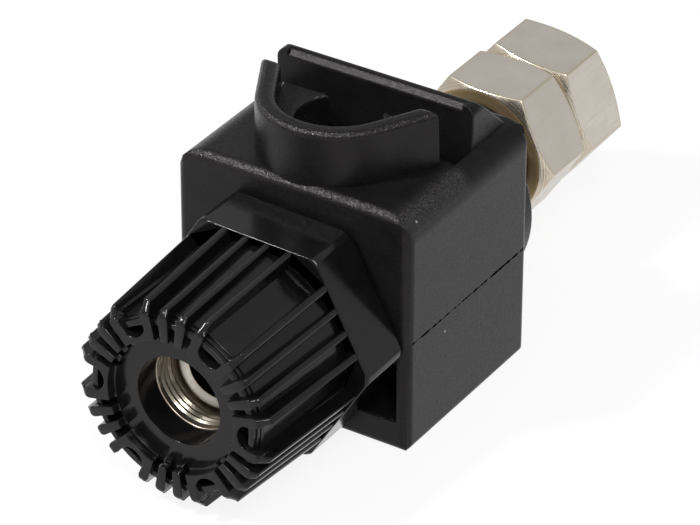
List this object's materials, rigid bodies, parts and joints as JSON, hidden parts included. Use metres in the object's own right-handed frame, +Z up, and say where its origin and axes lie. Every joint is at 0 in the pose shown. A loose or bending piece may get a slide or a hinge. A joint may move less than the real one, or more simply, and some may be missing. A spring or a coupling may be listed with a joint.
{
  "type": "banana socket terminal",
  "caption": "Panel-mounted pole terminal with a 4 mm axial banana socket, a fluted clamp knob, an insulating housing with a wire funnel and lug slot, and a nutted rear stud.",
  "frame": {"origin": "on the socket's axis, at the rear face of the insulating collar that lies on the panel", "axes": "+Y along the axis from the knob towards the nuts, +Z up through the wire funnel"},
  "size_m": [0.0178, 0.0489, 0.0216],
  "materials": {
    "gloss_black": "gloss moulded",
    "grained_black": "fine spark-eroded grain",
    "nickel": "nickel plated, turned",
    "plate_steel": "zinc plated"
  },
  "bodies": {
    "terminal": {"socket_stud": "nickel", "upper_housing": "grained_black", "lower_housing": "grained_black", "rear_bush": "grained_black", "front_nut": "nickel", "rear_nut": "nickel"},
    "clamp": {"clamp_plate": "plate_steel"},
    "knob": {"clamp_knob": "gloss_black", "knob_bush": "nickel", "retaining_ring": "plate_steel"}
  },
  "joints": [
    {"name": "clamp_slide", "type": "slide", "parent": "terminal", "child": "clamp", "axis": [0, -1, 0], "range_m": [0, 0.0055]},
    {"name": "knob_turn", "type": "hinge", "parent": "clamp", "child": "knob", "pos_m": [0, -0.02, 0], "axis": [0, -1, 0], "range_deg": [0, 1980]}
  ],
  "couplings": [
    {"joint": "clamp_slide", "follows": "knob_turn", "m_per_rad": 0.00015915}
  ]
}
